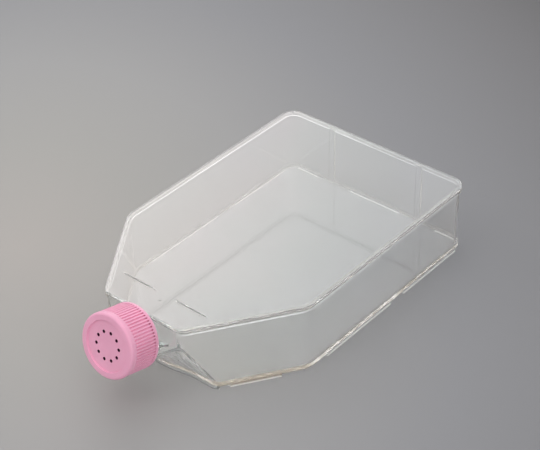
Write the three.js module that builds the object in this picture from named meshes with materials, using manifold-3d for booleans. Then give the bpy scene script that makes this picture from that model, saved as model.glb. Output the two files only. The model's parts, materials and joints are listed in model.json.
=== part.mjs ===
// Cell culture flask with a canted neck and a vented screw cap, in millimetres, +Z up, standing on its rails.
// The neck points along -Y and rises; the back wall faces +Y. While it is built, y = 0 is the front edge of
// the rim.
import * as THREE from "three";
import { mergeVertices } from "three/addons/utils/BufferGeometryUtils.js";
import Module from "manifold-3d";

const wasm = await Module();
wasm.setup();

// ---- Driving dimensions ----

// Plan of the rim, which the lid shares
const rimWidth = 136;
const rimLength = 209.4;
const frontWidth = 56.2; // between the front corners before they are rounded
const shoulderLength = 59.4; // from the front edge to where the long sides start
const frontCornerRadius = 6.5;
const shoulderRadius = 16;
const backCornerRadius = 9.4;

// Heights and walls
const flaskHeight = 45.7; // rails to the top of the lid
const wallThickness = 1.5;
const lidThickness = 1.5;
const weldGap = 0.1; // seam between the lid and the rim flange
const rimFlangeThickness = 1.8;
const rimOverhang = 1.3; // how far the rim stands out from the side walls
const frontSetback = 0.4; // front wall behind the rim's front edge
const floorThickness = 2;
const baseFlangeThickness = 3;
const baseInset = 0.2; // base flange behind the rim, in plan
const edgeRounding = 0.2; // on the edges of the lid, the rim and the base
const floorRounding = 0.6; // where the walls meet the floor inside
const baseFrontSetback = 14.9; // front edge of the base behind the rim's front edge
const bowDepth = 3.1; // how far that edge bows forward under the neck
const bowHalfWidth = 24;

// Rails under the base: strips along its edge, with gaps between them
const railHeight = 2;
const railWidth = 1.3;
const frontRailSpan = [75.5, 134.6]; // from the front edge, on each long side
const rearRailSpan = [62, 9.4]; // from the back edge
const shoulderRailSpan = [21.8, 46.2];
const frontRailEnd = 17; // from the front edge: where the rail that turns both front corners ends
const backRailHalfWidth = 18.8;
const cornerRailSpan = [46.2, 61.2]; // |x| range of the two outer rails under the back wall

// Ramp from the base's front edge up to the neck
const rampFootSetback = 17;
const archRadius = 16; // of the front wall's lower edge where it runs under the neck
const archAngle = 40; // degrees from straight down where that arc becomes a straight flank
const archSteps = 12;
const flankSteps = 4;

// Neck, measured along its own axis from the rim's front edge outwards
const neckAxisHeight = 31.5;
const neckTilt = 14.73; // degrees above the horizontal
const neckLength = 23.05;
const neckRadius = 14;
const boreRadius = 11.7;
const lipChamfer = 0.5;
const collarStart = 4.7;
const collarWidth = 1.5;
const collarRadius = 15.7;
const gussetThickness = 1.2;
const gussetReach = 19; // radius at which the gussets meet the front wall

// Thread, right-handed
const threadPitch = 4;
const threadHeight = 1.4;
const threadBaseWidth = 2.2;
const threadCrestWidth = 0.9;
const threadStart = 2.6; // first turn's middle below the lip
const neckThreadTurns = 1.75;
const capThreadTurns = 1.25;
const threadClearance = 0.35; // between each crest and the root that it runs in
const threadSteps = 40; // per turn
const threadRunOut = 30; // degrees over which a thread's end fades

// Cap
const capRadius = 18.8;
const capLength = 20.4;
const capTopThickness = 1.3;
const capEdgeRadius = 1.6;
const recessRadius = 14.55;
const recessDepth = 0.9;
const recessDraft = 0.25;
const ribCount = 66;
const ribFirstAngle = 1.4; // degrees from +X
const ribSetback = 0.12; // crests below the plain bands
const ribDepth = 0.75;
const ribCrestShare = 0.5; // of the pitch
const ribRootShare = 0.22;
const ribStart = 3.6; // behind the cap's face
const rearBandWidth = 1.7;
const pocketDepth = 0.8; // at the rear end of each groove, below its root
const pocketLength = 1;
const pocketWidth = 0.9;
const ventCount = 10;
const ventRadius = 1;
const ventCircleRadius = 8.2;
const ventFirstAngle = 9.45; // degrees from +X
const beadHeight = 0.75; // snap bead that holds the seal ring
const beadWidth = 0.8;

// Membrane and seal ring in the cap
const seatGap = 0.2; // between the stacked pieces
const ventSpace = 0.7; // between the membrane and the cap's top wall
const membraneThickness = 0.4;
const membraneRadius = 14.4;
const sealThickness = 1.2;
const sealRadius = 15.3;
const plugLength = 2.5;
const plugWall = 0.85;
const plugClearance = 0.25;

// Marks moulded on the lid and the walls
const barLength = 21;
const barRadius = 0.5;
const barSteps = 12;
const barGap = 18.4; // between the inner ends of the two bars
const barSetback = 18.5; // from the front edge
const gateRadius = 0.8; // two small round marks near the bars
const gateHeight = 0.25;
const gateOffset = 1.5;
const gateSetback = 13.3;
const dotOffset = 7.2;
const wallRibWidth = 4.2;
const wallRibHeight = 0.8;
const wallRibOffset = 33.6; // from the middle of the back wall
const footPadWidth = 2;
const footPadHeight = 5;
const footPadDepth = 1.2;
const graduationCount = 12;
const graduationPitch = 3.5;
const graduationSetback = 9.9; // last line from the back edge
const graduationWidth = 1.2;
const graduationDepth = 0.7;
const graduationHeights = [2.6, 1.8]; // long and short lines in turn

const floorRoundingSteps = 4;
const roundSteps = 64;
const capSteps = ribCount;
const smallRoundSteps = 16;
const arcSteps = 5; // three.js doubles this for each rounded corner
const overlap = 0.4; // how far joined pieces sink into each other before they are fused

// ---- Solids ----

function solid(geometry) {
  const plain = geometry.clone();
  plain.deleteAttribute("normal");
  plain.deleteAttribute("uv");
  const merged = mergeVertices(plain, 1e-4);
  return new wasm.Manifold(
    new wasm.Mesh({
      numProp: 3,
      vertProperties: new Float32Array(merged.attributes.position.array),
      triVerts: new Uint32Array(merged.index.array),
    }),
  );
}

function geometryOf(manifold) {
  const { vertProperties, triVerts } = manifold.getMesh();
  const geometry = new THREE.BufferGeometry();
  geometry.setAttribute("position", new THREE.BufferAttribute(vertProperties, 3));
  geometry.setIndex(new THREE.BufferAttribute(triVerts, 1));
  const faceted = geometry.toNonIndexed();
  faceted.computeVertexNormals();
  return faceted;
}

function join(pieces) {
  return pieces.reduce((sum, piece) => sum.add(piece));
}

function prism(shape, bottom, top, rounding = 0, roundingSteps = 1) {
  const geometry = new THREE.ExtrudeGeometry(shape, {
    depth: top - bottom - 2 * rounding,
    bevelEnabled: rounding > 0,
    bevelThickness: rounding,
    bevelSize: rounding,
    bevelOffset: -rounding,
    bevelSegments: roundingSteps,
    curveSegments: arcSteps,
  });
  return solid(geometry.translate(0, 0, bottom + rounding));
}

function block(low, high) {
  const size = high.map((v, i) => v - low[i]);
  const middle = high.map((v, i) => (v + low[i]) / 2);
  return solid(new THREE.BoxGeometry(...size).translate(...middle));
}

// A solid of revolution about Z from a closed profile of [radius, height] points.
function turned(profile, steps = roundSteps) {
  const points = profile.map(([r, z]) => new THREE.Vector2(r, z));
  if (points[0].x > 0 || points.at(-1).x > 0) points.push(points[0].clone());
  return solid(new THREE.LatheGeometry(points, steps).rotateX(Math.PI / 2));
}

function arcPoints(centre, radius, from, to, steps) {
  return Array.from({ length: steps + 1 }, (_, i) => {
    const angle = THREE.MathUtils.degToRad(from + ((to - from) * i) / steps);
    return [centre[0] + radius * Math.cos(angle), centre[1] + radius * Math.sin(angle)];
  });
}

// ---- Plan of the flask ----

const shoulderRun = new THREE.Vector2((rimWidth - frontWidth) / 2, shoulderLength).normalize();

// Half the width of the flask at a given y, on the line of the shoulders.
function shoulderX(inset, y) {
  return frontWidth / 2 + (y * shoulderRun.x - inset) / shoulderRun.y;
}

// The six corners, counterclockwise from the front right, with every side moved in by the inset.
function planCorners(inset, frontY) {
  const side = rimWidth / 2 - inset;
  const bendY = ((side - frontWidth / 2) * shoulderRun.y + inset) / shoulderRun.x;
  const half = [
    [shoulderX(inset, frontY), frontY, frontCornerRadius],
    [side, bendY, shoulderRadius],
    [side, rimLength - inset, backCornerRadius],
  ];
  const mirrored = half.map(([x, y, r]) => [-x, y, r]).reverse();
  return [...half, ...mirrored].map(([x, y, r]) => ({
    point: new THREE.Vector2(x, y),
    radius: Math.max(r - inset, overlap),
  }));
}

// Outline of the flask, set in by the inset. Its front edge can bow forward.
function planShape(inset, frontY = inset, bowed = false) {
  const corners = planCorners(inset, frontY);
  const shape = new THREE.Shape();
  corners.forEach(({ point, radius }, i) => {
    const before = corners.at(i - 1).point.clone().sub(point).normalize();
    const after = corners[(i + 1) % corners.length].point.clone().sub(point).normalize();
    const halfAngle = Math.acos(before.dot(after)) / 2;
    const middle = before.clone().add(after).normalize();
    const centre = point.clone().addScaledVector(middle, radius / Math.sin(halfAngle));
    const start = new THREE.Vector2(-before.y, before.x).negate();
    const end = new THREE.Vector2(-after.y, after.x);
    const outward = (v) => (v.dot(middle) > 0 ? v.negate() : v);
    shape.absarc(centre.x, centre.y, radius, outward(start).angle(), outward(end).angle(), false);
  });
  for (let i = 0; bowed && i <= 2 * archSteps; i++) {
    const x = bowHalfWidth * (i / archSteps - 1);
    shape.lineTo(x, frontY - bow(x));
  }
  return shape;
}

// ---- Ramp ----

const frontWallY = frontSetback;
const lidBottom = flaskHeight - lidThickness;
const rimBottom = lidBottom - weldGap - rimFlangeThickness;
const floorTop = railHeight + floorThickness;

// How far the base and the foot of the ramp bow forward at a distance x from the middle.
function bow(x) {
  const share = Math.min(Math.abs(x) / bowHalfWidth, 1);
  return (bowDepth * (1 + Math.cos(Math.PI * share))) / 2;
}

// Lower edge of the front wall: an arc under the neck, then two straight flanks rising to the shoulder walls.
function archEdge(radius, halfWidth, y) {
  const axisHeight = neckAxisHeight - y * Math.tan(THREE.MathUtils.degToRad(neckTilt));
  const arc = arcPoints([0, axisHeight], radius, -90, -90 + archAngle, archSteps);
  const [endX, endZ] = arc.at(-1);
  const rise = Math.tan(THREE.MathUtils.degToRad(archAngle));
  const flank = Array.from({ length: flankSteps }, (_, i) => {
    const run = ((halfWidth - endX) * (i + 1)) / flankSteps;
    return [endX + run, endZ + run * rise];
  });
  const right = [...arc, ...flank].map(([x, z]) => new THREE.Vector3(x, y, z));
  const left = right.slice(1).map((p) => new THREE.Vector3(-p.x, p.y, p.z));
  return [...left.reverse(), ...right];
}

// Everything above the ramp. Its lower face is ruled from the arch down to the bowed foot of the ramp, and
// both are set in by the wall.
function aboveRamp(inset, wall, footZ) {
  const archY = frontWallY + wall;
  const arch = archEdge(archRadius - wall, shoulderX(inset, archY), archY);
  const widen = shoulderX(inset, rampFootSetback) / arch.at(-1).x;
  const foot = arch.map((top) => {
    const x = top.x * widen;
    const outerY = rampFootSetback - bow(x);
    const lean = (outerY - frontWallY) / (top.z - railHeight);
    return new THREE.Vector3(x, outerY + wall * Math.hypot(1, lean) - lean * (footZ - railHeight), footZ);
  });
  const far = foot.map((p) => new THREE.Vector3(p.x, 2 * rimLength, footZ));
  return loft([arch, foot, far].map(closeAbove));
}

// Closes an edge into a ring by way of two points far above it.
function closeAbove(edge) {
  const [first, last] = [edge[0], edge.at(-1)];
  const side = (end) => new THREE.Vector3(Math.sign(end.x) * rimWidth, end.y, end.z);
  const top = (end) => new THREE.Vector3(Math.sign(end.x) * rimWidth, end.y, 2 * flaskHeight);
  return [side(first), ...edge, side(last), top(last), top(first)];
}

// Skins a solid through rings of points, the first and the last of them flat and facing along Y.
function loft(rings) {
  const count = rings[0].length;
  const faces = [];
  for (let s = 0; s + 1 < rings.length; s++) {
    for (let i = 0; i < count; i++) {
      const a = s * count + i;
      const b = s * count + ((i + 1) % count);
      faces.push(b, a, b + count, b + count, a, a + count);
    }
  }
  const last = (rings.length - 1) * count;
  endFaces(rings[0]).forEach(([a, b, c]) => faces.push(a, b, c));
  endFaces(rings.at(-1)).forEach(([a, b, c]) => faces.push(last + a, last + c, last + b));
  const geometry = new THREE.BufferGeometry().setFromPoints(rings.flat());
  geometry.setIndex(faces);
  return solid(geometry);
}

function endFaces(ring) {
  return THREE.ShapeUtils.triangulateShape(
    ring.map(({ x, z }) => new THREE.Vector2(x, z)),
    [],
  );
}

// ---- Thread ----

// A ridge with a trapezoid section, wound down a right-handed helix from the height top. Its root is at the
// given radius, and it stands out from it by height, inwards where height is negative.
function threadRidge(radius, height, top, turns) {
  const section = new THREE.Shape(
    [
      [-Math.sign(height) * overlap, -threadBaseWidth / 2],
      [height, -threadCrestWidth / 2],
      [height, threadCrestWidth / 2],
      [-Math.sign(height) * overlap, threadBaseWidth / 2],
    ].map(([x, y]) => new THREE.Vector2(x, y)),
  );
  const sweep = turns * 2 * Math.PI;
  const geometry = new THREE.ExtrudeGeometry(section, {
    depth: sweep,
    steps: Math.round(turns * threadSteps),
    bevelEnabled: false,
  });
  const runOut = THREE.MathUtils.degToRad(threadRunOut);
  const position = geometry.attributes.position;
  for (let i = 0; i < position.count; i++) {
    const turn = position.getZ(i);
    const fade = THREE.MathUtils.clamp(Math.min(turn, sweep - turn) / runOut, 0, 1);
    const stand = position.getX(i);
    const r = radius + (stand * height > 0 ? stand * fade : stand);
    const z = top + position.getY(i) - (threadPitch * turn) / (2 * Math.PI);
    position.setXYZ(i, r * Math.cos(turn), -r * Math.sin(turn), z);
  }
  return solid(geometry);
}

// ---- Neck and cap axis ----

const neckFrame = new THREE.Group();
neckFrame.position.set(0, 0, neckAxisHeight);
neckFrame.rotation.x = THREE.MathUtils.degToRad(90 - neckTilt);
neckFrame.updateMatrix();

function onNeck(manifold) {
  return solid(geometryOf(manifold).applyMatrix4(neckFrame.matrix));
}

const sealBottom = neckLength + seatGap;
const membraneBottom = sealBottom + sealThickness + seatGap;
const capInnerTop = membraneBottom + membraneThickness + ventSpace;
const capFace = capInnerTop + capTopThickness + recessDepth;
const capRear = capFace - capLength;
const capBoreRadius = neckRadius + threadHeight + threadClearance;
const threadTop = neckLength - threadStart;

// ---- Flask body ----

function neckSolid() {
  const inside = -2 * wallThickness;
  const neck = turned([
    [0, inside],
    [neckRadius, inside],
    [neckRadius, neckLength - lipChamfer],
    [neckRadius - lipChamfer, neckLength],
    [0, neckLength],
  ]);
  const collar = turned([
    [0, collarStart],
    [collarRadius, collarStart],
    [collarRadius, collarStart + collarWidth],
    [0, collarStart + collarWidth],
  ]);
  const thread = threadRidge(neckRadius, threadHeight, threadTop, neckThreadTurns);
  return join([neck, collar, thread, ...[-1, 1].map(gusset)]);
}

// A fin between the stop collar and the front wall, on one side of the neck.
function gusset(side) {
  const root = -wallThickness / 2;
  const fin = new THREE.Shape(
    [
      [neckRadius - overlap, root],
      [gussetReach, root],
      [collarRadius, collarStart + overlap],
      [neckRadius - overlap, collarStart + overlap],
    ].map(([x, z]) => new THREE.Vector2(side * x, z)),
  );
  const geometry = new THREE.ExtrudeGeometry(fin, { depth: gussetThickness, bevelEnabled: false });
  return solid(geometry.translate(0, 0, -gussetThickness / 2).rotateX(Math.PI / 2));
}

function shell() {
  const outer = prism(planShape(rimOverhang, frontWallY), railHeight, rimBottom + overlap);
  const rim = prism(planShape(0), rimBottom, lidBottom - weldGap, edgeRounding);
  const base = basePrism(0, railHeight, railHeight + baseFlangeThickness, edgeRounding);
  return join([outer.intersect(aboveRamp(rimOverhang, 0, railHeight)), rim, base]);
}

function basePrism(inset, bottom, top, rounding) {
  return prism(planShape(baseInset + inset, baseFrontSetback + inset, true), bottom, top, rounding);
}

function chamber() {
  const inset = rimOverhang + wallThickness;
  const plan = planShape(inset, frontWallY + wallThickness);
  const room = prism(plan, floorTop, 2 * flaskHeight, floorRounding, floorRoundingSteps);
  return room.intersect(aboveRamp(inset, wallThickness, floorTop));
}

function rails() {
  const top = railHeight + edgeRounding + overlap;
  const ring = basePrism(0, 0, top).subtract(basePrism(railWidth, -overlap, top + overlap));
  const acrossBoth = (from, to) => block([-rimWidth, from, -overlap], [rimWidth, to, flaskHeight]);
  const rearEnd = rimLength - rearRailSpan[1];
  const onBack = (from, to) => block([from, rearEnd - overlap, -overlap], [to, 2 * rimLength, flaskHeight]);
  return ring.intersect(
    join([
      acrossBoth(0, frontRailEnd),
      acrossBoth(...shoulderRailSpan),
      acrossBoth(...frontRailSpan),
      acrossBoth(rimLength - rearRailSpan[0], rearEnd),
      onBack(-cornerRailSpan[1], -cornerRailSpan[0]),
      onBack(-backRailHalfWidth, backRailHalfWidth),
      onBack(...cornerRailSpan),
    ]),
  );
}

// Two flat ribs up the outside of the back wall, each with a small pad at its foot.
function backRibs() {
  const wallY = rimLength - rimOverhang;
  const bottom = railHeight + baseFlangeThickness - overlap;
  return join(
    [-1, 1].flatMap((side) => {
      const x = side * wallRibOffset;
      const pad = x - (side * (wallRibWidth - footPadWidth)) / 2;
      return [
        block(
          [x - wallRibWidth / 2, wallY - overlap, bottom],
          [x + wallRibWidth / 2, wallY + wallRibHeight, rimBottom + overlap],
        ),
        block(
          [pad - footPadWidth / 2, wallY - overlap, bottom],
          [pad + footPadWidth / 2, wallY + footPadDepth, bottom + overlap + footPadHeight],
        ),
      ];
    }),
  );
}

// Volume marks for a flask that stands on its back wall: a row of short grooves in one edge of the base.
function graduations() {
  const depthX = rimWidth / 2 - baseInset - graduationDepth;
  return join(
    Array.from({ length: graduationCount }, (_, i) => {
      const y = rimLength - graduationSetback - i * graduationPitch;
      const height = graduationHeights[i % graduationHeights.length];
      return block(
        [depthX, y - graduationWidth / 2, railHeight],
        [rimWidth, y + graduationWidth / 2, railHeight + height],
      );
    }),
  );
}

function flaskBody() {
  const bore = turned([
    [0, -2 * wallThickness],
    [boreRadius, -2 * wallThickness],
    [boreRadius, neckLength + overlap],
    [0, neckLength + overlap],
  ]);
  const lidRoom = prism(planShape(-seatGap), lidBottom - weldGap, 2 * flaskHeight);
  return join([shell().subtract(graduations()), onNeck(neckSolid()), rails(), backRibs()])
    .subtract(chamber())
    .subtract(onNeck(bore))
    .subtract(lidRoom);
}

// ---- Lid ----

function topPlate() {
  const plate = prism(planShape(0), lidBottom, flaskHeight, edgeRounding);
  const bar = new THREE.CylinderGeometry(barRadius, barRadius, barLength, barSteps).rotateZ(Math.PI / 2);
  const barX = (barGap + barLength) / 2;
  const bars = [-barX, barX].map((x) => solid(bar).translate(x, barSetback, flaskHeight));
  const knob = turned(
    [
      [0, -overlap],
      [gateRadius, -overlap],
      [gateRadius, gateHeight],
      [0, gateHeight],
    ],
    smallRoundSteps,
  );
  const gate = knob.translate(gateOffset, gateSetback, flaskHeight);
  const dot = knob.translate(-dotOffset, barSetback, flaskHeight);
  return join([plate, ...bars, gate, dot]);
}

// ---- Cap, membrane and seal ring, along the neck's axis ----

// Ring with the ribs of the grip as its outline.
function ribRing() {
  const crest = capRadius - ribSetback;
  const root = crest - ribDepth;
  const pitch = 360 / ribCount;
  const corner = (radius, degrees) => {
    const angle = THREE.MathUtils.degToRad(ribFirstAngle + degrees);
    return new THREE.Vector2(radius * Math.cos(angle), radius * Math.sin(angle));
  };
  const outline = Array.from({ length: ribCount }, (_, i) => [
    corner(crest, (i - ribCrestShare / 2) * pitch),
    corner(crest, (i + ribCrestShare / 2) * pitch),
    corner(root, (i + 0.5 - ribRootShare / 2) * pitch),
    corner(root, (i + 0.5 + ribRootShare / 2) * pitch),
  ]).flat();
  const ring = new THREE.Shape(outline);
  ring.holes.push(new THREE.Path().absarc(0, 0, root - overlap, 0, 2 * Math.PI, true));
  const geometry = new THREE.ExtrudeGeometry(ring, {
    depth: capLength - ribStart - rearBandWidth + 2 * overlap,
    bevelEnabled: false,
    curveSegments: roundSteps / 2,
  });
  return solid(geometry.translate(0, 0, capRear + rearBandWidth - overlap));
}

// A small deep pocket at the rear end of each groove of the grip.
function pockets() {
  const crest = capRadius - ribSetback;
  const start = capRear + rearBandWidth;
  const pocket = block(
    [crest - ribDepth - pocketDepth, -pocketWidth / 2, start],
    [crest, pocketWidth / 2, start + pocketLength],
  );
  return join(
    Array.from({ length: ribCount }, (_, i) =>
      pocket.rotate([0, 0, ribFirstAngle + ((i + 0.5) * 360) / ribCount]),
    ),
  );
}

function capShell() {
  const core = capRadius - ribSetback - ribDepth - overlap / 2; // buried in the ring of ribs
  const slope = capRadius - core;
  const recessFloor = capFace - recessDepth;
  const bandTop = capRear + rearBandWidth;
  const edge = arcPoints([capRadius - capEdgeRadius, capFace - capEdgeRadius], capEdgeRadius, 90, 0, 5);
  const outside = turned(
    [
      [0, recessFloor],
      [recessRadius, recessFloor],
      [recessRadius + recessDraft, capFace],
      ...edge,
      [capRadius, capFace - ribStart],
      [core, capFace - ribStart - slope],
      [core, bandTop],
      [capRadius, bandTop],
      [capRadius, capRear],
      [0, capRear],
    ].reverse(),
    capSteps,
  );
  const beadTop = sealBottom - seatGap;
  const beadRadius = capBoreRadius - beadHeight;
  const hollow = turned([
    [0, capRear - overlap],
    [capBoreRadius, capRear - overlap],
    [capBoreRadius, beadTop - beadWidth],
    [beadRadius, beadTop - beadWidth / 2],
    [beadRadius, beadTop],
    [capBoreRadius, beadTop],
    [capBoreRadius, capInnerTop],
    [0, capInnerTop],
  ]);
  const ridgeTop = threadTop - threadPitch / 2;
  const thread = threadRidge(capBoreRadius, -threadHeight, ridgeTop, capThreadTurns);
  return join([outside, ribRing()]).subtract(hollow).subtract(pockets()).add(thread).subtract(vents());
}

function vents() {
  return join(
    Array.from({ length: ventCount }, (_, i) => {
      const angle = THREE.MathUtils.degToRad(ventFirstAngle + (i * 360) / ventCount);
      return turned(
        [
          [0, capInnerTop - overlap],
          [ventRadius, capInnerTop - overlap],
          [ventRadius, capFace],
          [0, capFace],
        ],
        smallRoundSteps,
      ).translate(ventCircleRadius * Math.cos(angle), ventCircleRadius * Math.sin(angle), 0);
    }),
  );
}

function ventMembrane() {
  return turned([
    [0, membraneBottom],
    [membraneRadius, membraneBottom],
    [membraneRadius, membraneBottom + membraneThickness],
    [0, membraneBottom + membraneThickness],
  ]);
}

function sealRing() {
  const plugRadius = boreRadius - plugClearance;
  const inner = plugRadius - plugWall;
  return turned([
    [inner, sealBottom - plugLength],
    [plugRadius - plugWall / 2, sealBottom - plugLength],
    [plugRadius, sealBottom - plugLength + plugWall],
    [plugRadius, sealBottom],
    [sealRadius, sealBottom],
    [sealRadius, sealBottom + sealThickness],
    [inner, sealBottom + sealThickness],
  ]);
}

// ---- Assembly ----

const clearStyrene = { color: 0xdde6e6, roughness: 0.06, metalness: 0, transparent: true, opacity: 0.3 };
const pinkPolyethylene = { color: 0xe58fb8, roughness: 0.45, metalness: 0 };
const whiteFilter = { color: 0xf4f2ee, roughness: 0.9, metalness: 0 };
const naturalPolyethylene = { color: 0xe9e6e0, roughness: 0.5, metalness: 0 };

function part(name, manifold, look) {
  const mesh = new THREE.Mesh(geometryOf(manifold), new THREE.MeshStandardMaterial(look));
  mesh.name = name;
  return mesh;
}

const flask = new THREE.Group();
flask.add(part("flask_body", flaskBody(), clearStyrene));
flask.add(part("top_plate", topPlate(), clearStyrene));
flask.add(neckFrame);
neckFrame.add(part("cap_shell", capShell(), pinkPolyethylene));
neckFrame.add(part("vent_membrane", ventMembrane(), whiteFilter));
neckFrame.add(part("seal_ring", sealRing(), naturalPolyethylene));

// The origin is on the table, under the middle of the whole flask.
const box = new THREE.Box3().setFromObject(flask, true);
const middle = box.getCenter(new THREE.Vector3());
flask.position.set(-middle.x, -middle.y, -box.min.z);

export default flask;
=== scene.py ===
import json
import math

import bpy
from mathutils import Matrix, Vector

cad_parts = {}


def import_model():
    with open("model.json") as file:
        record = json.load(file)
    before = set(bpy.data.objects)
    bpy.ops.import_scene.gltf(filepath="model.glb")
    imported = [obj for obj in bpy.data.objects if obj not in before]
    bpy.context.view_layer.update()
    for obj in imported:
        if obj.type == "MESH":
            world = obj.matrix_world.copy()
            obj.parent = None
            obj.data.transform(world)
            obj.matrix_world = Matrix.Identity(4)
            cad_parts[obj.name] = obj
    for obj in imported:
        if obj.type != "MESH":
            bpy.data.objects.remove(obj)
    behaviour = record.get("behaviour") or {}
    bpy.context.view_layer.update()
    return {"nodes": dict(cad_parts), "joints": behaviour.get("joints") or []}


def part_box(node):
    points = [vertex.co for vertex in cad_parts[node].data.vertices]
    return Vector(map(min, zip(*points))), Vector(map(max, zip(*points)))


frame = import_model()


# ---- Places, in metres: y runs from the cap to the back of the flask, and z is up ----

BODY_HEIGHT = 0.0457  # without the bars on the lid
RIM_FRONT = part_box("top_plate")[0][1]
LID_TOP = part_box("flask_body")[0][2] + BODY_HEIGHT
cap_turn = next(joint for joint in frame["joints"] if joint["name"] == "cap_turn")
CAP_CENTRE, CAP_AXIS = cap_turn["pos_m"], cap_turn["axis"]  # a point on the neck's axis, and its way


# ---- Node helpers ----

def new_material(name):
    """An empty material, its node tree and its output node."""
    material = bpy.data.materials.new(name)
    material.use_nodes = True
    tree = material.node_tree
    tree.nodes.clear()
    output = tree.nodes.new("ShaderNodeOutputMaterial")
    return material, tree, output


def feed(tree, socket, value):
    """Links an output to an input, or sets the input to a number or a vector."""
    if isinstance(value, bpy.types.NodeSocket):
        tree.links.new(value, socket)
    else:
        socket.default_value = value


def add(tree, kind, *values, **settings):
    """A node with its first inputs fed. A setting is a property, or an input if its name starts with in_."""
    node = tree.nodes.new(kind)
    for key, value in settings.items():
        if key.startswith("in_"):
            feed(tree, node.inputs[key[3:].replace("_", " ")], value)
        else:
            setattr(node, key, value)
    for socket, value in zip(node.inputs, values):
        feed(tree, socket, value)
    return node


def object_place(tree):
    """The point in its piece's own space, so a finish moves with the piece."""
    return add(tree, "ShaderNodeTexCoord").outputs["Object"]


def separated(tree, vector):
    """The x, y and z of a vector."""
    return tuple(add(tree, "ShaderNodeSeparateXYZ", vector).outputs)


def ramp(tree, factor, stops):
    """A colour ramp over (position, colour) stops."""
    node = add(tree, "ShaderNodeValToRGB", factor)
    elements = node.color_ramp.elements
    while len(elements) < len(stops):
        elements.new(0.5)
    for element, (position, colour) in zip(elements, stops):
        element.position = position
        element.color = (*colour, 1)
    return node.outputs["Color"]


def noise(tree, vector, scale, detail, roughness=0.5):
    """Cloudy noise around 0.5."""
    node = add(
        tree, "ShaderNodeTexNoise", in_Vector=vector,
        in_Scale=scale, in_Detail=detail, in_Roughness=roughness,
    )
    return node.outputs["Fac"]


def bump(tree, height, strength, distance):
    """A normal that follows a height."""
    node = add(tree, "ShaderNodeBump", in_Height=height, in_Strength=strength, in_Distance=distance)
    return node.outputs["Normal"]


def math_node(tree, operation, *values):
    """The result of a Math node on values that are each a socket or a number."""
    return add(tree, "ShaderNodeMath", *values, operation=operation).outputs[0]


def product(tree, first, *others):
    """Several values multiplied."""
    for other in others:
        first = math_node(tree, "MULTIPLY", first, other)
    return first


def vector_node(tree, operation, *vectors):
    """The result of a Vector Math node: a number for a dot product or a length, and else a vector."""
    node = add(tree, "ShaderNodeVectorMath", *vectors, operation=operation)
    return node.outputs["Value" if operation in ("DOT_PRODUCT", "LENGTH") else "Vector"]


def map_range(tree, value, span, start=0.0, end=1.0, interpolation="LINEAR"):
    """Goes from the start value to the end value as the input crosses the span."""
    node = add(tree, "ShaderNodeMapRange", interpolation_type=interpolation, in_Value=value)
    for name, number in zip(("From Min", "From Max", "To Min", "To Max"), (*span, start, end)):
        node.inputs[name].default_value = number
    return node.outputs["Result"]


def fade_out(tree, value, span):
    """Falls smoothly from 1 to 0 as the input crosses the span."""
    return map_range(tree, value, span, 1.0, 0.0, "SMOOTHSTEP")


def tinted(tree, share, first, second, blend="MIX"):
    """Blends two colours, the first a socket and the second a triple, by a share."""
    node = add(tree, "ShaderNodeMix", share, data_type="RGBA", blend_type=blend)
    first_colour, second_colour, mixed = node.inputs[6], node.inputs[7], node.outputs[2]
    feed(tree, first_colour, first)
    feed(tree, second_colour, (*second, 1))
    return mixed


def mix_shaders(tree, share, first, second):
    """A blend of two shader nodes."""
    return add(tree, "ShaderNodeMixShader", share, first.outputs[0], second.outputs[0])


def linear(red, green, blue):
    """A colour as the eye sees it, in 8-bit sRGB steps, as the linear values that shaders use."""
    def channel(value):
        value /= 255
        return value / 12.92 if value <= 0.04045 else ((value + 0.055) / 1.055) ** 2.4

    return tuple(channel(value) for value in (red, green, blue))


# ---- Clear plastic of the body and the lid ----

STYRENE_TINT = (0.985, 1.0, 1.0)
STYRENE_INDEX, STYRENE_ROUGHNESS = 1.59, 0.015
LID_WAVINESS, WAVE_SCALE, WAVE_HEIGHT = 0.015, 22, 0.002

STRESS_TURN = 18  # degrees between the flask's width and the way that the faint stress colours change
STRESS_SPAN = (-0.07, 0.10)
STRESS_SWIRL, SWIRL_SCALE = 0.12, 18  # how far noise pushes the colours to and fro
STRESS_COLOURS = [
    (0.0, (1.0, 0.975, 0.970)), (0.22, (1.0, 0.970, 0.974)), (0.40, (0.985, 0.980, 0.975)),
    (0.60, (0.965, 0.966, 0.964)), (0.85, (0.982, 0.978, 0.991)), (1.0, (1.0, 0.995, 1.0)),
]
NECK_START = RIM_FRONT - 0.002
NECK_FADE = 0.004
NECK_TINT = (0.90, 0.99, 0.99)

HAZE = 0.018  # the share of cloudy plastic everywhere
HAZE_SPAN = (0, 0.045)  # the heights that its colours span
# Near white below about 2 mm for the painted highlight on the rails' feet, tan up to about 7 mm for the
# painted light trapped in the base, and warm greys above.
HAZE_AND_PAINTED_LIGHT_COLOURS = [
    (0.0, (0.96, 0.95, 0.93)), (0.043, (0.96, 0.95, 0.93)), (0.048, (0.86, 0.74, 0.58)),
    (0.15, (0.86, 0.76, 0.62)), (0.8, (0.84, 0.80, 0.74)), (1.0, (0.82, 0.80, 0.77)),
]
WALL_TURN, WALL_HAZE = 0.8, 0.02  # walls are faces whose normals have a z below WALL_TURN
RAIL_TOP, RAIL_PAINTED_GLINT = 0.0019, 0.1  # the rails under the base get a little white haze, a painted highlight along them
FOOT_TOP, FOOT_PAINTED_GLINT = 0.0008, 0.85  # and their feet much more: painted white glint lines
BASE_BAND, BASE_PAINTED_TAN_HAZE = (0.0025, 0.0042), 0.22  # painted light: a tan haze low along the shoulders stands for light trapped in the base
# The tan of that painted trapped light.
BASE_PAINTED_TAN = (0.44, 0.34, 0.23)
SHOULDER_END = (RIM_FRONT + 0.059, RIM_FRONT + 0.084)
FRONT_TURN, FRONT_END = 0.72, RIM_FRONT + 0.029  # the front edge gets no painted tan: its normals have a large y
FRONT_COLOUR = (0.84, 0.87, 0.86)

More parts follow.
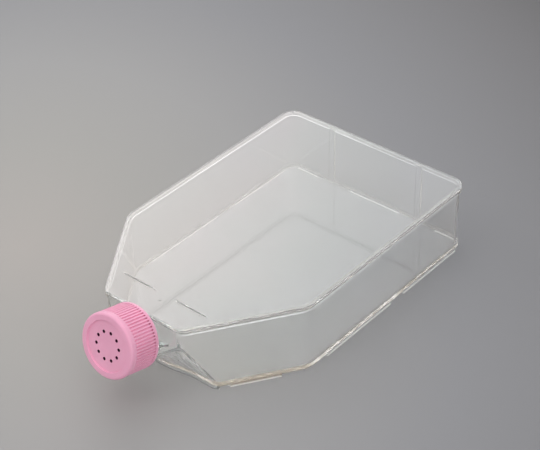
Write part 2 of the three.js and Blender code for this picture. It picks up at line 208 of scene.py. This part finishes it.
SHADOW_COLOUR = (0.95, 0.952, 0.95)  # how much of a lamp's light each face passes
SHADOW_EDGE, EDGE_BLEND, EDGE_DIMMING = 0.45, 0.35, 0.55  # and it passes less at a grazing angle


def stress_colour(tree, place):
    """The plastic's tint, with a faint stain of stress colours and a blue-green neck."""
    turned = add(
        tree, "ShaderNodeVectorRotate", place,
        rotation_type="Z_AXIS", in_Angle=math.radians(-STRESS_TURN),
    )
    across, _, _ = separated(tree, turned.outputs[0])
    cloudy = noise(tree, place, SWIRL_SCALE, detail=1.0)
    swirl = math_node(tree, "MULTIPLY_ADD", cloudy, STRESS_SWIRL, -STRESS_SWIRL / 2)
    share = map_range(tree, math_node(tree, "ADD", across, swirl), STRESS_SPAN)
    stops = [
        (position, tuple(t * s for t, s in zip(STYRENE_TINT, stain)))
        for position, stain in STRESS_COLOURS
    ]
    _, along, _ = separated(tree, place)
    neck = fade_out(tree, along, (NECK_START, NECK_START + NECK_FADE))
    return tinted(tree, neck, ramp(tree, share, stops), NECK_TINT, "MULTIPLY")


def front_zone(tree, along, facing_along):
    """1 on the faces near the front that look along the flask, and 0 elsewhere."""
    looks_along = math_node(tree, "GREATER_THAN", math_node(tree, "ABSOLUTE", facing_along), FRONT_TURN)
    return product(tree, looks_along, math_node(tree, "LESS_THAN", along, FRONT_END))


def painted_tan_band(tree, along, height, front):
    """Where tan light trapped in the base is painted: 1 low on the shoulders, fading out above and behind,
    and 0 on the feet and in the front zone.
    """
    low = fade_out(tree, height, BASE_BAND)
    above_foot = math_node(tree, "GREATER_THAN", height, FOOT_TOP)
    return product(
        tree, low, fade_out(tree, along, SHOULDER_END), math_node(tree, "SUBTRACT", 1.0, front), above_foot,
    )


def haze_and_painted_light_share(tree, height, facing_up, front, band):
    """How cloudy the plastic is: more on walls, and most on the rails' feet, where the white haze is a
    painted highlight, and in the tan band, where it is painted light trapped in the base.
    """
    # Painted highlight: white haze low on the rails and on their feet stands for their glint lines.
    rail = product(tree, math_node(tree, "LESS_THAN", height, RAIL_TOP), RAIL_PAINTED_GLINT)
    foot = math_node(tree, "SUBTRACT", math_node(tree, "LESS_THAN", height, FOOT_TOP), front)
    foot = math_node(tree, "MAXIMUM", product(tree, foot, FOOT_PAINTED_GLINT), WALL_HAZE)
    # The band's share paints the tan of light trapped in the base.
    extra = math_node(tree, "ADD", math_node(tree, "ADD", rail, foot), product(tree, band, BASE_PAINTED_TAN_HAZE))
    is_wall = math_node(tree, "LESS_THAN", math_node(tree, "ABSOLUTE", facing_up), WALL_TURN)
    return math_node(tree, "ADD", product(tree, extra, is_wall), HAZE)


def haze_and_painted_light_colour(tree, height, front, band):
    """The colour of the cloud, by height, in the front zone and in the tan band of painted trapped light;
    near white low down for the painted highlight on the feet.
    """
    colour = ramp(tree, map_range(tree, height, HAZE_SPAN), HAZE_AND_PAINTED_LIGHT_COLOURS)
    colour = tinted(tree, front, colour, FRONT_COLOUR)
    return tinted(tree, band, colour, BASE_PAINTED_TAN)


def haze(tree, place):
    """The share and the colour of the cloud in the plastic, by place and by the way that a face looks, with
    its painted highlight on the rails' feet and its painted tan light in the base.
    """
    _, along, height = separated(tree, place)
    _, facing_along, facing_up = separated(tree, add(tree, "ShaderNodeNewGeometry").outputs["True Normal"])
    front = front_zone(tree, along, facing_along)
    band = painted_tan_band(tree, along, height, front)
    return haze_and_painted_light_share(tree, height, facing_up, front, band), haze_and_painted_light_colour(tree, height, front, band)


def shadow_filter(tree):
    """What a lamp's light passes through: almost clear, and darker where it grazes a face."""
    facing = add(tree, "ShaderNodeLayerWeight", in_Blend=EDGE_BLEND).outputs["Facing"]
    dimmed = tuple(value * EDGE_DIMMING for value in SHADOW_COLOUR)
    stops = [(0.0, SHADOW_COLOUR), (SHADOW_EDGE, SHADOW_COLOUR), (1.0, dimmed)]
    return add(tree, "ShaderNodeBsdfTransparent", in_Color=ramp(tree, facing, stops))


def clear_styrene(name, waviness=0.0):
    """Polished clear plastic with faint stress colours, a little haze that also carries a painted highlight
    on the rails' feet and painted tan light in the base, and, on the lid, a slight waviness.
    """
    material, tree, output = new_material(name)
    place = object_place(tree)
    polished = add(
        tree, "ShaderNodeBsdfPrincipled", in_Base_Color=stress_colour(tree, place),
        in_Roughness=STYRENE_ROUGHNESS, in_IOR=STYRENE_INDEX, in_Transmission_Weight=1.0,
    )
    if waviness:
        waves = noise(tree, place, WAVE_SCALE, detail=1.0)
        feed(tree, polished.inputs["Normal"], bump(tree, waves, waviness, WAVE_HEIGHT))
    share, colour = haze(tree, place)
    cloud = mix_shaders(
        tree, 0.5,
        add(tree, "ShaderNodeBsdfDiffuse", in_Color=colour),
        add(tree, "ShaderNodeBsdfTranslucent", in_Color=colour),
    )
    plastic = mix_shaders(tree, share, polished, cloud)
    is_shadow = add(tree, "ShaderNodeLightPath").outputs["Is Shadow Ray"]
    surface = mix_shaders(tree, is_shadow, plastic, shadow_filter(tree))
    feed(tree, output.inputs["Surface"], surface.outputs[0])
    return material


# ---- Plastic of the cap and the seal ring, and the membrane ----

# The vent colour is painted shade on the walls of the cap's vent holes.
CAP_COLOUR, VENT_PAINTED_SHADE = linear(252, 180, 209), linear(70, 14, 48)
SEAL_COLOUR = (0.80, 0.79, 0.76)
RECESS_FLOOR, VENT_REACH = 0.02705, 0.010  # along the cap's axis, and away from it
VENT_LIP = 0.0001  # below the floor of the recess, where the painted shade begins
MOULDED_INDEX = 1.5
MOTTLE_SCALE, MOTTLE_SHADE = 60, 0.94
GLOSS_SCALE, GLOSS_SPREAD = 900, (-0.04, 0.06)
GRAIN_SCALE, GRAIN_HEIGHT = 2500, 0.0002
SUBSURFACE_RADIUS, SUBSURFACE_SCALE = (1.0, 0.45, 0.6), 0.0012
FIBRE_SCALE, FIBRE_STRENGTH, FIBRE_HEIGHT = 4000, 0.4, 0.0001
# Near black: the membrane is painted as the shade in the vent holes.
FIBRE_SHADE_COLOURS = [(0.3, (0.012, 0.002, 0.007)), (0.7, (0.03, 0.006, 0.016))]


def inside_vents(tree, place):
    """Where shade is painted: 1 on the walls of the cap's vent holes and 0 on the rest of its outside."""
    offset = vector_node(tree, "SUBTRACT", place, CAP_CENTRE)
    along = vector_node(tree, "DOT_PRODUCT", offset, CAP_AXIS)
    radius = vector_node(tree, "LENGTH", vector_node(tree, "CROSS_PRODUCT", offset, CAP_AXIS))
    below = math_node(tree, "LESS_THAN", along, RECESS_FLOOR - VENT_LIP)
    return product(tree, below, math_node(tree, "LESS_THAN", radius, VENT_REACH))


def moulded(name, colour, rough, grain, subsurface=0.0, vent_shade=None):
    """Moulded opaque plastic: a fine satin grain, a slightly varied colour and, on the cap, painted shade on
    the walls of the vent holes.
    """
    material, tree, output = new_material(name)
    place = object_place(tree)
    darker = tuple(value * MOTTLE_SHADE for value in colour)
    mottled = ramp(tree, noise(tree, place, MOTTLE_SCALE, detail=3.0), [(0.35, darker), (0.65, colour)])
    # Painted shade: the walls of the vent holes take the dark vent colour.
    if vent_shade:
        mottled = tinted(tree, inside_vents(tree, place), mottled, vent_shade)
    high_gloss, low_gloss = ([rough + change] * 3 for change in GLOSS_SPREAD)
    gloss = ramp(tree, noise(tree, place, GLOSS_SCALE, detail=2.0), [(0.3, high_gloss), (0.7, low_gloss)])
    shader = add(
        tree, "ShaderNodeBsdfPrincipled",
        in_Base_Color=mottled, in_Roughness=gloss, in_IOR=MOULDED_INDEX,
        in_Normal=bump(tree, noise(tree, place, GRAIN_SCALE, detail=2.0), grain, GRAIN_HEIGHT),
        in_Subsurface_Weight=subsurface, in_Subsurface_Radius=SUBSURFACE_RADIUS,
        in_Subsurface_Scale=SUBSURFACE_SCALE,
    )
    feed(tree, output.inputs["Surface"], shader.outputs[0])
    return material


def filter_paper(name):
    """The membrane under the vent holes, dark and matt as in the photo: painted near black as the shade in
    the holes, over a dense web of fine fibres.
    """
    material, tree, output = new_material(name)
    fibres = noise(tree, object_place(tree), FIBRE_SCALE, detail=6.0, roughness=0.8)
    shader = add(
        tree, "ShaderNodeBsdfPrincipled", in_Base_Color=ramp(tree, fibres, FIBRE_SHADE_COLOURS),
        in_Roughness=0.9, in_Specular_IOR_Level=0.1,
        in_Normal=bump(tree, fibres, FIBRE_STRENGTH, FIBRE_HEIGHT),
    )
    feed(tree, output.inputs["Surface"], shader.outputs[0])
    return material


# ---- Smooth shading of the carried-over solids ----

BODY_CREASE, CAP_CREASE = 24, 28  # degrees: edges that turn by more stay sharp
WELD_DISTANCE = 1e-6
FLAT_WEIGHT = 100  # how much a large face counts in the normals at its corners


def smooth_by_angle(degrees):
    """A modifier that welds a node's facets and shades them smooth, but for edges sharper than the angle."""
    group = bpy.data.node_groups.new("smooth_by_angle", "GeometryNodeTree")
    group.interface.new_socket("Geometry", in_out="INPUT", socket_type="NodeSocketGeometry")
    group.interface.new_socket("Geometry", in_out="OUTPUT", socket_type="NodeSocketGeometry")
    start = add(group, "NodeGroupInput").outputs[0]
    weld = add(group, "GeometryNodeMergeByDistance", in_Geometry=start, in_Distance=WELD_DISTANCE)
    angle = add(group, "GeometryNodeInputMeshEdgeAngle").outputs[0]
    soft = add(group, "FunctionNodeCompare", angle, math.radians(degrees), operation="LESS_EQUAL")
    faces = add(group, "GeometryNodeSetShadeSmooth", domain="FACE", in_Geometry=weld.outputs[0])
    edges = add(
        group, "GeometryNodeSetShadeSmooth", domain="EDGE",
        in_Geometry=faces.outputs[0], in_Shade_Smooth=soft.outputs[0],
    )
    add(group, "NodeGroupOutput", edges.outputs[0])
    return group


def dress(node, material, smoothing):
    """Gives a CAD node its material and its smooth shading, in which large flat faces stay flat."""
    piece = frame["nodes"][node]
    for slot in piece.material_slots:
        slot.material = material
    modifier = piece.modifiers.new("smooth", "NODES")
    modifier.node_group = smoothing
    flats = piece.modifiers.new("flats", "WEIGHTED_NORMAL")
    flats.weight = FLAT_WEIGHT
    flats.keep_sharp = True


body_smoothing = smooth_by_angle(BODY_CREASE)
cap_smoothing = smooth_by_angle(CAP_CREASE)
dress("flask_body", clear_styrene("body_styrene"), body_smoothing)
dress("top_plate", clear_styrene("lid_styrene", LID_WAVINESS), body_smoothing)
pink = moulded("cap_plastic", CAP_COLOUR, rough=0.36, grain=0.25, subsurface=0.08, vent_shade=VENT_PAINTED_SHADE)
dress("cap_shell", pink, cap_smoothing)
dress("seal_ring", moulded("seal_plastic", SEAL_COLOUR, rough=0.4, grain=0.2), body_smoothing)
dress("vent_membrane", filter_paper("membrane"), body_smoothing)


# ---- Floor ----

FLOOR_HALF = 6.0
FLOOR_PAINTED_BRIGHT = (-0.141, -0.051)  # the spot where the painted pool of light is brightest
FLOOR_TURN = 49.2  # degrees from +x to the narrow way of the painted patch of light
FLOOR_REACH = (0.5, 0.70522)  # from that spot to where the shades end, across the patch and along it
# Painted light: the floor's colour, brightest at the painted spot and darker away from it.
FLOOR_PAINTED_SHADES = [
    (0.0, linear(178, 173, 169)), (0.16, linear(170, 168, 165)), (0.32, linear(163, 162, 162)),
    (0.52, linear(146, 146, 149)), (0.80, linear(125, 124, 126)), (1.0, linear(100, 100, 100)),
]


def floor_paper():
    """Grey paper with a painted pool of light: its colour darkens away from the spot painted brightest."""
    material, tree, output = new_material("floor_paper")
    turned = add(
        tree, "ShaderNodeMapping", object_place(tree), vector_type="TEXTURE", in_Location=(*FLOOR_PAINTED_BRIGHT, 0),
        in_Rotation=(0, 0, math.radians(FLOOR_TURN)), in_Scale=(*FLOOR_REACH, 1),
    )
    away = vector_node(tree, "LENGTH", turned.outputs[0])
    shader = add(
        tree, "ShaderNodeBsdfPrincipled", in_Base_Color=ramp(tree, away, FLOOR_PAINTED_SHADES),
        in_Roughness=0.75, in_Specular_IOR_Level=0.2,
    )
    feed(tree, output.inputs["Surface"], shader.outputs[0])
    return material


def floor():
    """A large flat floor at z = 0."""
    mesh = bpy.data.meshes.new("floor")
    near, far = -FLOOR_HALF, FLOOR_HALF
    mesh.from_pydata([(near, near, 0), (far, near, 0), (far, far, 0), (near, far, 0)], [], [(0, 1, 2, 3)])
    piece = bpy.data.objects.new("floor", mesh)
    bpy.context.scene.collection.objects.link(piece)
    mesh.materials.append(floor_paper())


# ---- Lamps and surroundings ----

MIDDLE, FRONT = (0, 0, 0.04), (0, -0.1, 0.04)  # what the lamps are aimed at
HORIZON, ZENITH, ZENITH_BLUE = 0.80, 0.30, 1.01  # how bright the surroundings are, level and overhead
ZENITH_START = 0.7  # the z of the lowest direction that is as dim as overhead


def direction(azimuth, elevation):
    """The way towards an azimuth, counted from -Y towards +X, and a height over the horizon, in degrees."""
    turn, rise = math.radians(azimuth), math.radians(elevation)
    return Vector((math.sin(turn) * math.cos(rise), -math.cos(turn) * math.cos(rise), math.sin(rise)))


def soft_box(name, target, azimuth, elevation, distance, width, height, radiance=1.0):
    """A rectangular lamp that looks at the target."""
    data = bpy.data.lights.new(name, "AREA")
    data.shape = "RECTANGLE"
    data.size = width
    data.size_y = height
    data.energy = radiance * math.pi * width * height
    lamp = bpy.data.objects.new(name, data)
    away = direction(azimuth, elevation)
    lamp.location = Vector(target) + away * distance
    lamp.rotation_euler = away.to_track_quat("Z", "Y").to_euler()
    bpy.context.scene.collection.objects.link(lamp)
    return lamp


def grade(lamp, middle, slope):
    """Makes a lamp brighter towards one side: the strength at its middle, and the change per metre."""
    lamp.data.use_nodes = True
    tree = lamp.data.node_tree
    side = lamp.rotation_euler.to_matrix() @ Vector((1, 0, 0))
    spot = add(tree, "ShaderNodeNewGeometry").outputs["Position"]
    across = vector_node(tree, "DOT_PRODUCT", vector_node(tree, "SUBTRACT", spot, lamp.location), side)
    strength = math_node(tree, "MULTIPLY_ADD", across, slope, middle)
    feed(tree, tree.nodes["Emission"].inputs["Strength"], strength)


def world():
    """Surroundings that are bright at the horizon and dimmer overhead."""
    sky = bpy.data.worlds.new("studio")
    bpy.context.scene.world = sky
    sky.use_nodes = True
    tree = sky.node_tree
    _, _, height = separated(tree, add(tree, "ShaderNodeTexCoord").outputs["Generated"])
    zenith = (ZENITH, ZENITH, ZENITH * ZENITH_BLUE)
    colour = ramp(tree, height, [(0.0, [HORIZON] * 3), (ZENITH_START, zenith)])
    feed(tree, tree.nodes["Background"].inputs["Color"], colour)


# ---- Camera ----

CAMERA_AZIMUTH, CAMERA_ELEVATION, CAMERA_ROLL = 40.791, 36.051, -1.199  # degrees
CAMERA_DISTANCE, CAMERA_ASIDE, CAMERA_ABOVE = 0.841711, 0.069055, 0.046036
SENSOR_WIDTH, LENS = 36, 104.84507  # mm


def camera():
    """The photographer's camera, placed from the middle of the rim's front edge."""
    turn, roll = math.radians(CAMERA_AZIMUTH), math.radians(CAMERA_ROLL)
    back = direction(CAMERA_AZIMUTH, CAMERA_ELEVATION)
    level = Vector((math.cos(turn), math.sin(turn), 0))
    upright = back.cross(level)
    right = level * math.cos(roll) + upright * math.sin(roll)
    up = upright * math.cos(roll) - level * math.sin(roll)
    spot = Vector((0, RIM_FRONT, LID_TOP))
    spot += right * CAMERA_ASIDE + up * CAMERA_ABOVE + back * CAMERA_DISTANCE
    data = bpy.data.cameras.new("camera")
    data.sensor_width = SENSOR_WIDTH
    data.lens = LENS
    piece = bpy.data.objects.new("camera", data)
    piece.matrix_world = Matrix.Translation(spot) @ Matrix((right, up, back)).transposed().to_4x4()
    bpy.context.scene.collection.objects.link(piece)
    bpy.context.scene.camera = piece


floor()
world()
key = soft_box("soft_box", MIDDLE, azimuth=220, elevation=39, distance=1.4, width=1.3, height=1.1)
grade(key, middle=1.263, slope=1.655)
soft_box("top", MIDDLE, azimuth=0, elevation=90, distance=1.4, width=2.0, height=2.0, radiance=0.708)
soft_box("left", FRONT, azimuth=-78, elevation=40, distance=1.3, width=0.7, height=0.7, radiance=1.28)
soft_box("right", FRONT, azimuth=78, elevation=30, distance=1.3, width=0.7, height=0.7, radiance=1.2)
soft_box("front", FRONT, azimuth=48, elevation=18, distance=1.3, width=1.2, height=0.7, radiance=0.9)
soft_box("face", FRONT, azimuth=-18, elevation=54, distance=1.3, width=0.6, height=0.6, radiance=1.7)
camera()


# ---- Render settings: light passes many clear faces ----

CLEAR_BOUNCES, SHADOW_BOUNCES = 256, 32

scene = bpy.context.scene
scene.view_settings.view_transform = "Standard"
scene.cycles.max_bounces = CLEAR_BOUNCES
scene.cycles.transmission_bounces = CLEAR_BOUNCES
scene.cycles.glossy_bounces = CLEAR_BOUNCES
scene.cycles.transparent_max_bounces = SHADOW_BOUNCES
